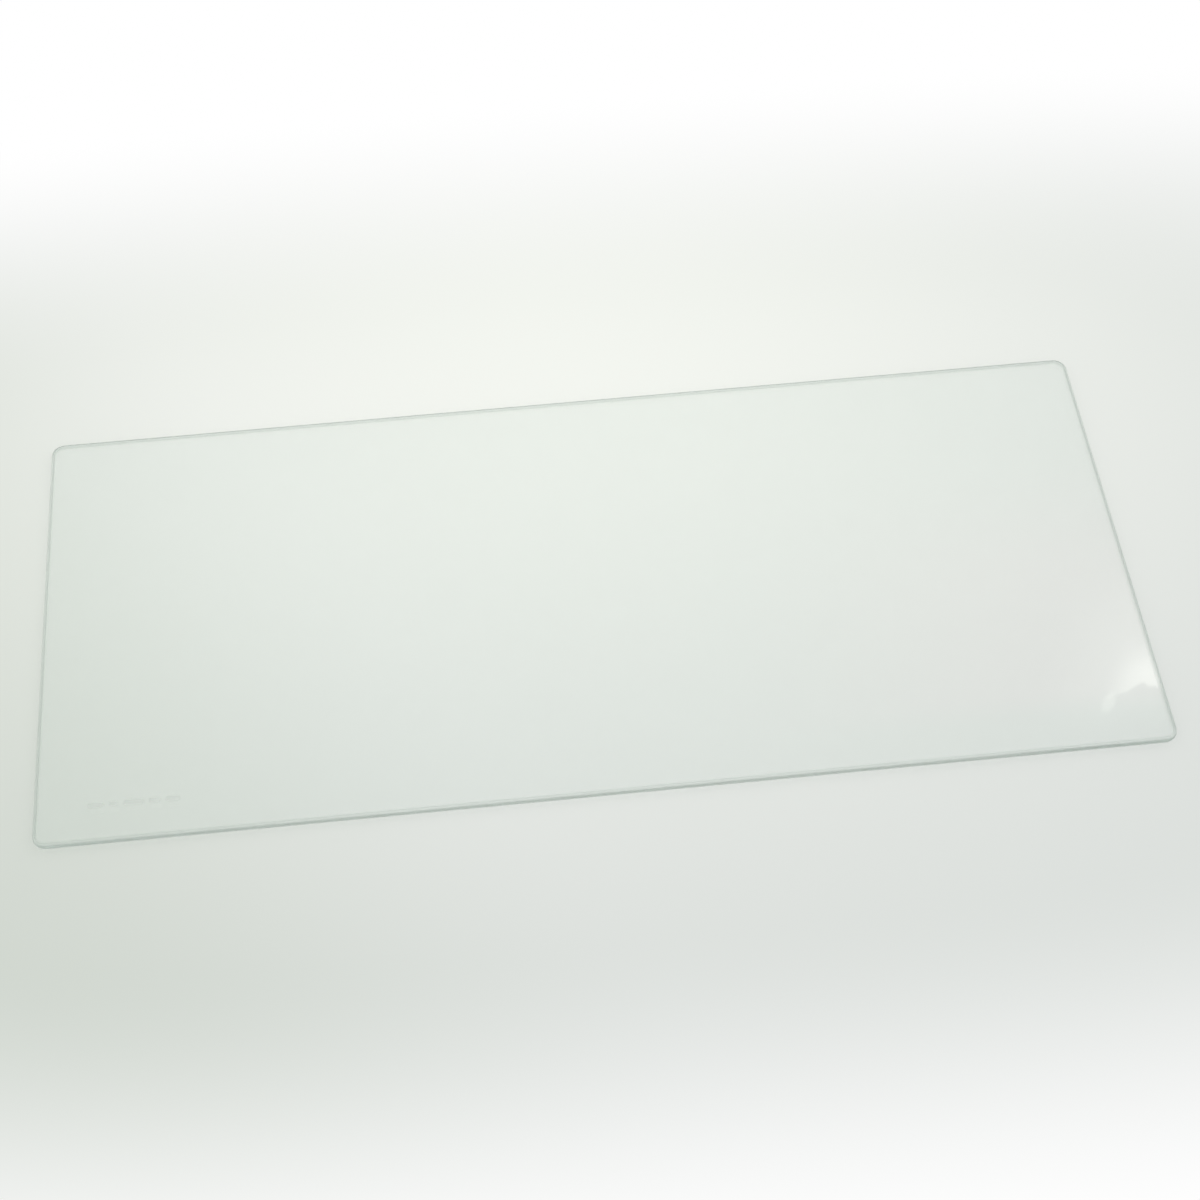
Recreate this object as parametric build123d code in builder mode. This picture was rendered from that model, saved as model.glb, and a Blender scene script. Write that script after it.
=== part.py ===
"""Loose glass shelf for a fridge: one flat tempered pane with rounded corners and a ground edge.

Frame, in millimetres: +X along the length, +Y towards the back of the fridge, +Z up.
The origin is under the middle of the pane, on the face that it rests on.
"""

import os

from build123d import *

# Driving dimensions
length = 470.0  # end to end, over the ground edge
depth = 215.0  # front to back, over the ground edge
thickness = 4.0  # of the glass sheet
corner_radius = 6.0  # of the outline, seen from above
edge_crown = 1.3  # how far the ground edge stands out past the two flat faces

# The two flat faces stop where the ground edge begins
face_length = length - 2 * edge_crown
face_depth = depth - 2 * edge_crown
face_corner_radius = corner_radius - edge_crown

with BuildPart() as glass_shelf:
    # Pane: the full thickness of glass between the two flat faces
    with BuildSketch() as face_outline:
        RectangleRounded(face_length, face_depth, face_corner_radius)
    extrude(amount=thickness)

    # Ground edge: the round section that the grinding wheel leaves, run once round the pane
    rim = face_outline.wire()
    section_plane = Plane(origin=rim @ 0, x_dir=(0, 0, 1), z_dir=rim % 0)
    with BuildSketch(section_plane) as edge_section:
        with BuildLine():
            wheel_arc = ThreePointArc((0, 0), (thickness / 2, edge_crown), (thickness, 0))
            Line(wheel_arc @ 1, wheel_arc @ 0)
        make_face()
    sweep(path=rim)

glass_shelf.part.label = "glass_shelf"

os.makedirs("parts", exist_ok=True)
export_step(glass_shelf.part, "parts/glass_shelf.step")
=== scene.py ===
"""Looks of the fridge glass shelf: a clear tempered pane with a ground edge, on a pale floor."""

import math

import bmesh
import bpy
from mathutils import Matrix, Vector


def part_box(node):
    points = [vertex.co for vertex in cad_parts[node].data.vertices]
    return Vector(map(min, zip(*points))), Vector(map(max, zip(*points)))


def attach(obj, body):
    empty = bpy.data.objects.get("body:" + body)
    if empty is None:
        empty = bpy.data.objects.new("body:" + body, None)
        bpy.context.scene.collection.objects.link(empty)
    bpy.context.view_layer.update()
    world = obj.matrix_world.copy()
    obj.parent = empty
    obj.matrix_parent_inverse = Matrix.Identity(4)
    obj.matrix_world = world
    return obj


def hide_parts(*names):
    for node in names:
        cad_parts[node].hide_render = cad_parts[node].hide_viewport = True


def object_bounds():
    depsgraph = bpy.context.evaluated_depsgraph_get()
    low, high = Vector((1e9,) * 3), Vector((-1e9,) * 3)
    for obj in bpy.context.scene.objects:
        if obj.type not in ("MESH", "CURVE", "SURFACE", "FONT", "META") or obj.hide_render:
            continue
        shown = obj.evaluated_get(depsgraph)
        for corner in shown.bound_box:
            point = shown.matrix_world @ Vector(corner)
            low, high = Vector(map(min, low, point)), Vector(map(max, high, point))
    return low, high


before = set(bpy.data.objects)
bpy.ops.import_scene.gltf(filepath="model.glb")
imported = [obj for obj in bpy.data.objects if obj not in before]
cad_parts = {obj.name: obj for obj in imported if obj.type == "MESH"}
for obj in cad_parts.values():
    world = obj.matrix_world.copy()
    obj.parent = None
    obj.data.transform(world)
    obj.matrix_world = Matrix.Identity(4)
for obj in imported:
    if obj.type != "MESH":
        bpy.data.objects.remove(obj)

cad_low, cad_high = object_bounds()

PANE = "glass_shelf"
ORIGIN = (0.0, 0.0, 0.0)  # under the middle of the pane
WHITE = (1.0, 1.0, 1.0)

# Camera, in metres and degrees of the row frame
CAMERA_PLACE = (-0.04689, -0.61287, 0.79989)
CAMERA_HEADING = 4.898  # from +Y towards +X
CAMERA_DOWN = 52.736  # below the horizon
CAMERA_ROLL = 1.287  # clockwise, seen from behind the camera
CAMERA_FOCUS = 2315.6  # focal length in pixels of the photograph
PHOTO_SIDE = 1200
SENSOR = 36.0  # millimetres

# Mesh of the pane
ARC_STEPS = 20  # over the ground edge's round section
CORNER_STEPS = 20  # over each rounded corner
CORNER_SIGNS = ((1, 1), (-1, 1), (-1, -1), (1, -1))  # anticlockwise from the back right
LEVEL_SHARE = 0.01  # share of the thickness or the crown within which points count as level

# Glass
GLASS_INDEX = 1.52
TINT_DENSITY = 6.0  # per metre
TINT_COLOUR = (0.88, 0.905, 0.893)  # the share of each colour that the density leaves alone
FACE_COLOUR = (0.979, 1.0, 0.991)
FACE_ROUGHNESS = 0.0
WIPE_ROUGHNESS = 0.04  # where a cloth has left a faint trace on the faces
WIPE_SIZE = (0.2, 0.045, 1.0)  # metres along and across the strokes
WIPE_TURN = 24.0  # degrees from the length of the pane
WIPE_RANGE = (0.56, 0.80)  # of the noise, from no trace to a full one
# Colour of the ground edge: the glass's green cast, darkened with painted shade for the dimmer room
# light that the edge carries
EDGE_GREEN_AND_PAINTED_SHADE = (0.75, 0.795, 0.765)
EDGE_ROUGHNESS = 0.35
GRIND_SIZE = (0.03, 0.03, 0.0004)  # metres: long streaks along the edge, fine across it
GRIND_DEPTH = 0.000005  # metres
GRIND_SPREAD = (0.8, 1.2)  # of the edge's roughness
STREAK_DETAIL = 1.0  # finer layers of noise in both kinds of streaks

# Printed mark on the upper face: a row of plain bars, in metres
MARK_PLACE = (-0.194, -0.0905)
MARK_BARS = (0.0070, 0.0045, 0.0090, 0.0055, 0.0065)
MARK_GAP = 0.0014
MARK_HEIGHT = 0.0030
MARK_SOFTNESS = 0.0007
MARK_COLOUR = (0.88, 0.91, 0.895)
MARK_ROUGHNESS = 0.35

# Floor, in metres from the middle of the pane
FLOOR_GAP = 0.00005  # film of air under the pane
FLOOR_HALF = 6.0
FLOOR_ROUGHNESS = 0.8
FLOOR_DIM = (0.710, 0.737, 0.713)
# Painted light: the floor's colour rises to this in a pool behind the pane, where light falls from
# the back
FLOOR_PAINTED_LIGHT = (0.89, 0.91, 0.861)
PAINTED_LIGHT_PLACE = (-0.007, 0.122)
PAINTED_LIGHT_REACH = (0.504, 0.351)
# Painted shade: the floor's colour darkens by this towards the front left, where less light falls
PAINTED_SHADE = (0.89, 0.914, 0.872)  # share of the colour that is left towards the front left
PAINTED_SHADE_SLANT = 1.87  # weight of a step to the left against one to the front
PAINTED_SHADE_SPAN = (0.15, 0.65)
FLOOR_GLOW = 0.7  # share of the floor's brightness that the pane can't shade
FADE_REACH = (0.31, 0.17)  # where the floor starts to turn white
FADE_END = 1.9  # times that reach, where it is white

# Light
FILL = 1.0
AROUND = 1.0  # brightness at the pane's sides, as it mirrors it
CEILING = 0.5  # brightness overhead, as the pane mirrors it
CEILING_SPAN = (0.30, 0.65)  # sine of the elevation where the sides give way to the ceiling
KEY_PLACE = (1.65, 1.2, 1.5)
KEY_SIZE = (1.2, 1.0)
KEY_POWER = 5.0

# Window behind on the right, in metres, which the pane mirrors upside down at its right end
WINDOW_Y = 1.2
WINDOW_X = (0.2, 1.4)
WINDOW_Z = (0.9, 2.1)

# Faint haze over the window
HAZE = 0.28
HAZE_COLOUR = (1.0, 0.12, 0.42)
HAZE_X = (0.25, 0.75)
HAZE_RISE = (1.35, 1.65)
HAZE_FALL = (1.90, 1.99)

# Soft halo round the window's light
HALO = 0.62
HALO_X = (0.71, 0.86)
HALO_RISE = (1.52, 1.82)
HALO_FALL = (1.87, 2.06)

# The window's light, up to a wavering border that is lowest at BORDER_X
LIGHT = 1.45
LIGHT_COLOUR = (1.0, 1.0, 0.93)
LIGHT_X = (0.815, 0.885)
LIGHT_Z = (1.775, 1.89)
BORDER_X = 0.8814
BORDER_Z = (1.901, 1.914)
BORDER_LEFT = 0.68  # slope to the left of the lowest point
BORDER_RIGHT = 0.65
BORDER_WAVER = 0.008
BORDER_WAVER_SCALE = 60.0  # per metre

# A small spot of light that reaches past the border's left side
SPOT = 0.6
SPOT_PLACE = (0.8375, 1.951)
SPOT_REACH = (0.014, 0.034)
SPOT_CORE = 0.4  # share of the reach inside which the spot is even

# Light that the faces guide through the pane meets them many times before it leaves by an edge
GUIDED_BOUNCES = 128
MATT_BOUNCES = 3

# Sockets of the Mix node that take and give colours
MIX_SHARE = 0
MIX_FIRST = 6
MIX_SECOND = 7
MIX_RESULT = 2


class Pane:
    """The pane's measures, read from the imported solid."""

    def __init__(self, node):
        self.low, self.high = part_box(node)
        points = [v.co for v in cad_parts[node].data.vertices]
        thickness = self.high.z - self.low.z
        flat = [p for p in points if p.z - self.low.z < LEVEL_SHARE * thickness]
        self.face_x = max(p.x for p in flat)
        self.face_y = max(p.y for p in flat)
        self.crown = self.high.x - self.face_x
        end = [p for p in flat if self.face_x - p.x < LEVEL_SHARE * self.crown]
        self.face_radius = self.face_y - max(p.y for p in end)

    def corner_centres(self):
        """Middles of the rounded corners, anticlockwise from the back right one."""
        inner_x = self.face_x - self.face_radius
        inner_y = self.face_y - self.face_radius
        return [Vector((sx * inner_x, sy * inner_y)) for sx, sy in CORNER_SIGNS]


def rim_points(pane):
    """Points of the flat faces' outline, anticlockwise, each with its outward normal."""
    rim = []
    for corner, centre in enumerate(pane.corner_centres()):
        for step in range(CORNER_STEPS + 1):
            angle = (corner + step / CORNER_STEPS) * math.pi / 2
            normal = Vector((math.cos(angle), math.sin(angle)))
            rim.append((centre + normal * pane.face_radius, normal))
    return rim


def edge_section(pane):
    """Offset and height along the ground edge's round section, from the lower face up."""
    half = (pane.high.z - pane.low.z) / 2
    radius = (half ** 2 + pane.crown ** 2) / (2 * pane.crown)
    reach = math.asin(half / radius)
    section = []
    for step in range(ARC_STEPS + 1):
        angle = reach * (2 * step / ARC_STEPS - 1)
        offset = radius * math.cos(angle) - (radius - pane.crown)
        section.append((offset, pane.low.z + half + radius * math.sin(angle)))
    return section


def add_flat_face(mesh, pane, ring, height, facing_down):
    """One flat face: a fan in each rounded corner, a strip along each side, and the middle."""
    centres = [mesh.verts.new((*centre, height)) for centre in pane.corner_centres()]
    per_corner = CORNER_STEPS + 1

    def face(*corners):
        made = mesh.faces.new(reversed(corners) if facing_down else corners)
        made.smooth = True

    face(*centres)
    for corner, centre in enumerate(centres):
        first = corner * per_corner
        for step in range(CORNER_STEPS):
            face(centre, ring[first + step], ring[first + step + 1])
        following = (corner + 1) % len(centres)
        face(centre, ring[first + CORNER_STEPS], ring[following * per_corner], centres[following])


def add_object(name, mesh):
    """A new object in the scene from a bmesh, which is freed."""
    data = bpy.data.meshes.new(name)
    mesh.to_mesh(data)
    mesh.free()
    made = bpy.data.objects.new(name, data)
    bpy.context.scene.collection.objects.link(made)
    return made


def build_pane(pane):
    """The pane as one closed mesh: two flat faces, and the ground edge as rings round them."""
    mesh = bmesh.new()
    ground = mesh.faces.layers.float.new("ground_edge")
    rim = rim_points(pane)
    rings = []
    for offset, height in edge_section(pane):
        ring = [mesh.verts.new((*(point + normal * offset), height)) for point, normal in rim]
        rings.append(ring)
    count = len(rim)
    for lower, upper in zip(rings, rings[1:]):
        for i in range(count):
            j = (i + 1) % count
            face = mesh.faces.new((lower[i], lower[j], upper[j], upper[i]))
            face[ground] = 1.0
            face.smooth = True
    add_flat_face(mesh, pane, rings[-1], pane.high.z, facing_down=False)
    add_flat_face(mesh, pane, rings[0], pane.low.z, facing_down=True)
    mesh.normal_update()
    for edge in mesh.edges:
        flat_sides = sum(not face[ground] for face in edge.link_faces)
        edge.smooth = flat_sides != 1
    return add_object("glass_pane", mesh)


class Nodes:
    """Short ways to add the nodes that the materials share."""

    def __init__(self, tree):
        self.nodes, self.links = tree.nodes, tree.links

    def new(self, kind, **inputs):
        """A new node, with inputs given by name, where _ stands for a space."""
        node = self.nodes.new(kind)
        for name, value in inputs.items():
            self.join(value, node.inputs[name.replace("_", " ")])
        return node

    def join(self, value, socket):
        """Sets a socket to a number, a colour or another node's output."""
        if isinstance(value, bpy.types.NodeSocket):
            self.links.new(value, socket)
        elif socket.type == "RGBA":
            socket.default_value = (*value, 1.0)
        else:
            socket.default_value = value

    def maths(self, operation, *values):
        """The result of one operation on numbers."""
        node = self.new("ShaderNodeMath")
        node.operation = operation
        for socket, value in zip(node.inputs, values):
            self.join(value, socket)
        return node.outputs["Value"]

    def product(self, first, *others):
        """Two or more numbers, multiplied."""
        for other in others:
            first = self.maths("MULTIPLY", first, other)
        return first

    def rise(self, value, start, stop):
        """0 before start, 1 after stop, and smooth in between."""
        node = self.new("ShaderNodeMapRange", Value=value, From_Min=start, From_Max=stop)
        node.interpolation_type = "SMOOTHSTEP"
        return node.outputs["Result"]

    def fall(self, value, start, stop):
        """1 before start, 0 after stop, and smooth in between."""
        return self.maths("SUBTRACT", 1.0, self.rise(value, start, stop))

    def blend(self, share, first, second):
        """Between two numbers."""
        node = self.new("ShaderNodeMapRange", Value=share, To_Min=first, To_Max=second)
        return node.outputs["Result"]

    def colour(self, share, first, second, way="MIX"):
        """Between two colours, or with MULTIPLY from the first to the product of both."""
        node = self.new("ShaderNodeMix")
        node.data_type = "RGBA"
        node.blend_type = way
        self.join(share, node.inputs[MIX_SHARE])
        self.join(first, node.inputs[MIX_FIRST])
        self.join(second, node.inputs[MIX_SECOND])
        return node.outputs[MIX_RESULT]

    def mixed(self, share, first, second):
        """Between two shaders."""
        node = self.new("ShaderNodeMixShader", Fac=share)
        self.links.new(first, node.inputs[1])
        self.links.new(second, node.inputs[2])
        return node.outputs["Shader"]

    def added(self, first, second):
        """Two shaders on top of each other."""
        node = self.new("ShaderNodeAddShader")
        self.links.new(first, node.inputs[0])
        self.links.new(second, node.inputs[1])
        return node.outputs["Shader"]

    def glow(self, colour, strength=1.0):
        """A shader that gives light of its own."""
        return self.new("ShaderNodeEmission", Color=colour, Strength=strength).outputs["Emission"]

    def surface(self, shader):
        """Makes a shader the material's surface."""
        self.links.new(shader, self.nodes["Material Output"].inputs["Surface"])

    def place(self):
        """The place in the object's own frame, in metres."""
        return self.new("ShaderNodeTexCoord").outputs["Object"]

    def attribute(self, name):
        """A number that the mesh's faces carry."""
        node = self.new("ShaderNodeAttribute")
        node.attribute_name = name
        return node.outputs["Fac"]

    def axes(self, vector):
        """The three parts of a vector."""
        node = self.new("ShaderNodeSeparateXYZ", Vector=vector)
        return node.outputs["X"], node.outputs["Y"], node.outputs["Z"]

    def length(self, x, y):
        """The length of a vector with two parts."""
        joined = self.new("ShaderNodeCombineXYZ", X=x, Y=y)
        node = self.new("ShaderNodeVectorMath", Vector=joined.outputs["Vector"])
        node.operation = "LENGTH"
        return node.outputs["Value"]

    def distance(self, x, y, centre, reach, squarer=False):
        """Distance from a centre in shares of the reach: round, or with squarer corners."""
        across = self.maths("DIVIDE", self.maths("SUBTRACT", x, centre[0]), reach[0])
        along = self.maths("DIVIDE", self.maths("SUBTRACT", y, centre[1]), reach[1])
        if not squarer:
            return self.length(across, along)
        squares = self.length(self.product(across, across), self.product(along, along))
        return self.maths("SQRT", squares)

    def streaks(self, place, size, turn=0.0):
        """Soft noise that is drawn out to the given size along each axis."""
        turned = (0.0, 0.0, math.radians(turn))
        mapping = self.new("ShaderNodeMapping", Vector=place, Rotation=turned, Scale=size)
        mapping.vector_type = "TEXTURE"
        noise = self.new("ShaderNodeTexNoise", Scale=1.0, Detail=STREAK_DETAIL)
        self.join(mapping.outputs["Vector"], noise.inputs["Vector"])
        return noise.outputs[0]

    def waver(self, value, scale):
        """Noise along one axis."""
        noise = self.new("ShaderNodeTexNoise")
        noise.noise_dimensions = "1D"
        self.join(value, noise.inputs["W"])
        self.join(scale, noise.inputs["Scale"])
        return noise.outputs[0]

    def seen_directly(self):
        """1 for what is seen, also mirrored or through glass, and 0 for light on matt surfaces."""
        light_path = self.new("ShaderNodeLightPath")
        return self.maths("LESS_THAN", light_path.outputs["Diffuse Depth"], 1.0)


def new_material(name):
    """A node material, and its kit. What glows in it isn't sampled as a lamp."""
    material = bpy.data.materials.new(name)
    material.use_nodes = True
    material.cycles.emission_sampling = "NONE"
    return material, Nodes(material.node_tree)


def mark_mask(kit, place, upper_face):
    """1 on the printed bars of the upper face."""
    x, y, z = kit.axes(place)
    radius = MARK_HEIGHT / 2
    row_length = sum(MARK_BARS) + MARK_GAP * (len(MARK_BARS) - 1)
    start = MARK_PLACE[0] - row_length / 2
    past_end = row_length
    for length in MARK_BARS:
        from_middle = kit.maths("ABSOLUTE", kit.maths("SUBTRACT", x, start + length / 2))
        past_this_end = kit.maths("SUBTRACT", from_middle, length / 2 - radius)
        past_end = kit.maths("MINIMUM", past_end, past_this_end)
        start += length + MARK_GAP
    from_row = kit.maths("SUBTRACT", y, MARK_PLACE[1])
    from_bars = kit.length(kit.maths("MAXIMUM", past_end, 0.0), from_row)
    bars = kit.fall(from_bars, radius - MARK_SOFTNESS, radius)
    return kit.product(bars, kit.maths("GREATER_THAN", z, upper_face - MARK_SOFTNESS))


def glass_material(pane):
    """Clear glass with polished faces, a printed mark and a finely ground, frosted edge whose
    colour holds painted shade.
    """
    material, kit = new_material("tempered_glass")
    shader = kit.nodes["Principled BSDF"]
    shader.inputs["Transmission Weight"].default_value = 1.0
    shader.inputs["IOR"].default_value = GLASS_INDEX
    place = kit.place()
    ground = kit.attribute("ground_edge")

    mark = mark_mask(kit, place, pane.high.z)
    face_colour = kit.colour(mark, FACE_COLOUR, MARK_COLOUR)
    # the ground edge takes a darker colour, which is painted shade
    kit.join(kit.colour(ground, face_colour, EDGE_GREEN_AND_PAINTED_SHADE), shader.inputs["Base Color"])

    wiped = kit.rise(kit.streaks(place, WIPE_SIZE, WIPE_TURN), *WIPE_RANGE)
    rough = kit.blend(wiped, FACE_ROUGHNESS, WIPE_ROUGHNESS)
    rough = kit.blend(mark, rough, MARK_ROUGHNESS)
    grind = kit.streaks(place, GRIND_SIZE)
    ground_rough = kit.product(kit.blend(grind, *GRIND_SPREAD), EDGE_ROUGHNESS)
    kit.join(kit.blend(ground, rough, ground_rough), shader.inputs["Roughness"])
    bump = kit.new("ShaderNodeBump", Height=grind, Strength=ground, Distance=GRIND_DEPTH)
    kit.join(bump.outputs["Normal"], shader.inputs["Normal"])

    tint = kit.new("ShaderNodeVolumeAbsorption", Color=TINT_COLOUR, Density=TINT_DENSITY)
    kit.join(tint.outputs["Volume"], kit.nodes["Material Output"].inputs["Volume"])
    return material


def floor_material():
    """Matt and pale, with painted light behind the pane and painted shade at its front left, and
    white away from it.
    """
    material, kit = new_material("floor")
    x, y, _ = kit.axes(kit.place())
    # painted light: a pool of brighter colour behind the pane
    bright = kit.fall(kit.distance(x, y, PAINTED_LIGHT_PLACE, PAINTED_LIGHT_REACH), 0.0, 1.0)
    colour = kit.colour(bright, FLOOR_DIM, FLOOR_PAINTED_LIGHT)
    # painted shade on the floor towards the front left
    aside = kit.maths("SUBTRACT", kit.product(x, -PAINTED_SHADE_SLANT), y)
    colour = kit.colour(kit.rise(aside, *PAINTED_SHADE_SPAN), colour, PAINTED_SHADE, "MULTIPLY")
    matt = kit.nodes["Principled BSDF"]
    matt.inputs["Roughness"].default_value = FLOOR_ROUGHNESS
    matt.inputs["Specular IOR Level"].default_value = 0.0
    kit.join(colour, matt.inputs["Base Color"])
    seen = kit.seen_directly()
    near = kit.mixed(kit.product(seen, FLOOR_GLOW), matt.outputs["BSDF"], kit.glow(colour))
    far = kit.rise(kit.distance(x, y, ORIGIN, FADE_REACH, squarer=True), 1.0, FADE_END)
    kit.surface(kit.mixed(kit.product(seen, far), near, kit.glow(WHITE)))
    return material


def add_floor():
    """A wide plane just under the pane."""
    mesh = bmesh.new()
    bmesh.ops.create_grid(mesh, x_segments=1, y_segments=1, size=FLOOR_HALF)
    made = add_object("floor", mesh)
    made.location.z = cad_low.z - FLOOR_GAP
    made.data.materials.append(floor_material())


def set_world():
    """Even fill light. What is seen is white all round, and the pane mirrors a greyer ceiling."""
    made = bpy.data.worlds.new("studio")
    bpy.context.scene.world = made
    made.use_nodes = True
    made.cycles.sampling_method = "NONE"
    kit = Nodes(made.node_tree)
    _, _, height = kit.axes(kit.new("ShaderNodeTexCoord").outputs["Generated"])
    mirrored = kit.blend(kit.rise(height, *CEILING_SPAN), AROUND, CEILING)
    light_path = kit.new("ShaderNodeLightPath")
    shown = kit.maths("MAXIMUM", mirrored, light_path.outputs["Is Camera Ray"])
    background = kit.nodes["Background"]
    kit.join(WHITE, background.inputs["Color"])
    kit.join(kit.blend(kit.seen_directly(), FILL, shown), background.inputs["Strength"])


def window_material():
    """A clear sheet with haze, a halo, the light under its wavering border, and the spot."""
    material, kit = new_material("window")
    kit.nodes.remove(kit.nodes["Principled BSDF"])
    x, _, z = kit.axes(kit.place())
    haze = kit.product(kit.rise(x, *HAZE_X), kit.rise(z, *HAZE_RISE), kit.fall(z, *HAZE_FALL), HAZE)
    halo = kit.product(kit.rise(x, *HALO_X), kit.rise(z, *HALO_RISE), kit.fall(z, *HALO_FALL), HALO)

    left = kit.maths("MAXIMUM", kit.maths("SUBTRACT", BORDER_X, x), 0.0)
    right = kit.maths("MAXIMUM", kit.maths("SUBTRACT", x, BORDER_X), 0.0)
    slant = kit.maths("ADD", kit.product(left, BORDER_LEFT), kit.product(right, BORDER_RIGHT))
    waver = kit.blend(kit.waver(x, BORDER_WAVER_SCALE), -BORDER_WAVER, BORDER_WAVER)
    levelled = kit.maths("SUBTRACT", z, kit.maths("ADD", slant, waver))
    under_border = kit.fall(levelled, *BORDER_Z)
    light = kit.product(kit.rise(x, *LIGHT_X), kit.rise(z, *LIGHT_Z), under_border, LIGHT)

    from_spot = kit.distance(x, z, SPOT_PLACE, SPOT_REACH)
    spot = kit.product(kit.fall(from_spot, SPOT_CORE, 1.0), SPOT)
    glow = kit.glow(LIGHT_COLOUR, kit.maths("ADD", kit.maths("ADD", halo, light), spot))
    clear = kit.new("ShaderNodeBsdfTransparent").outputs["BSDF"]
    kit.surface(kit.added(kit.added(glow, kit.glow(HAZE_COLOUR, haze)), clear))
    return material


def add_window():
    """A hazy window with one bright light in it, seen only as the glass mirrors it."""
    mesh = bmesh.new()
    corners = ((0, 0), (1, 0), (1, 1), (0, 1))
    mesh.faces.new([mesh.verts.new((WINDOW_X[i], 0.0, WINDOW_Z[j])) for i, j in corners])
    made = add_object("window", mesh)
    made.location.y = WINDOW_Y
    made.visible_camera = False
    made.visible_diffuse = False
    made.visible_shadow = False
    made.data.materials.append(window_material())


def add_area_lamp(name, place, target, size, power):
    """A rectangular lamp that faces its target."""
    data = bpy.data.lights.new(name, "AREA")
    data.shape = "RECTANGLE"
    data.size, data.size_y = size
    data.energy = power
    lamp = bpy.data.objects.new(name, data)
    lamp.location = place
    lamp.rotation_euler = (Vector(target) - Vector(place)).to_track_quat("-Z", "Y").to_euler()
    bpy.context.scene.collection.objects.link(lamp)


def add_camera():
    """The photograph's view, in a square picture."""
    data = bpy.data.cameras.new("camera")
    data.sensor_width = SENSOR
    data.lens = CAMERA_FOCUS / PHOTO_SIDE * SENSOR
    made = bpy.data.objects.new("camera", data)
    turn = Matrix.Rotation(math.radians(-CAMERA_HEADING), 4, "Z")
    tilt = Matrix.Rotation(math.radians(90 - CAMERA_DOWN), 4, "X")
    roll = Matrix.Rotation(math.radians(-CAMERA_ROLL), 4, "Z")
    made.matrix_world = Matrix.Translation(CAMERA_PLACE) @ turn @ tilt @ roll
    bpy.context.scene.collection.objects.link(made)
    bpy.context.scene.camera = made


def set_light_paths():
    """Enough bounces for light that the pane guides, and no blur in what it mirrors."""
    cycles = bpy.context.scene.cycles
    cycles.blur_glossy = 0.0
    cycles.max_bounces = GUIDED_BOUNCES
    cycles.glossy_bounces = GUIDED_BOUNCES
    cycles.transmission_bounces = GUIDED_BOUNCES
    cycles.diffuse_bounces = MATT_BOUNCES


pane = Pane(PANE)
piece = build_pane(pane)
piece.data.materials.append(glass_material(pane))
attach(piece, "root")
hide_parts(PANE)

add_floor()
set_world()
add_window()
add_area_lamp("key", KEY_PLACE, ORIGIN, KEY_SIZE, KEY_POWER)
add_camera()
set_light_paths()
bpy.context.scene.view_settings.view_transform = "Standard"
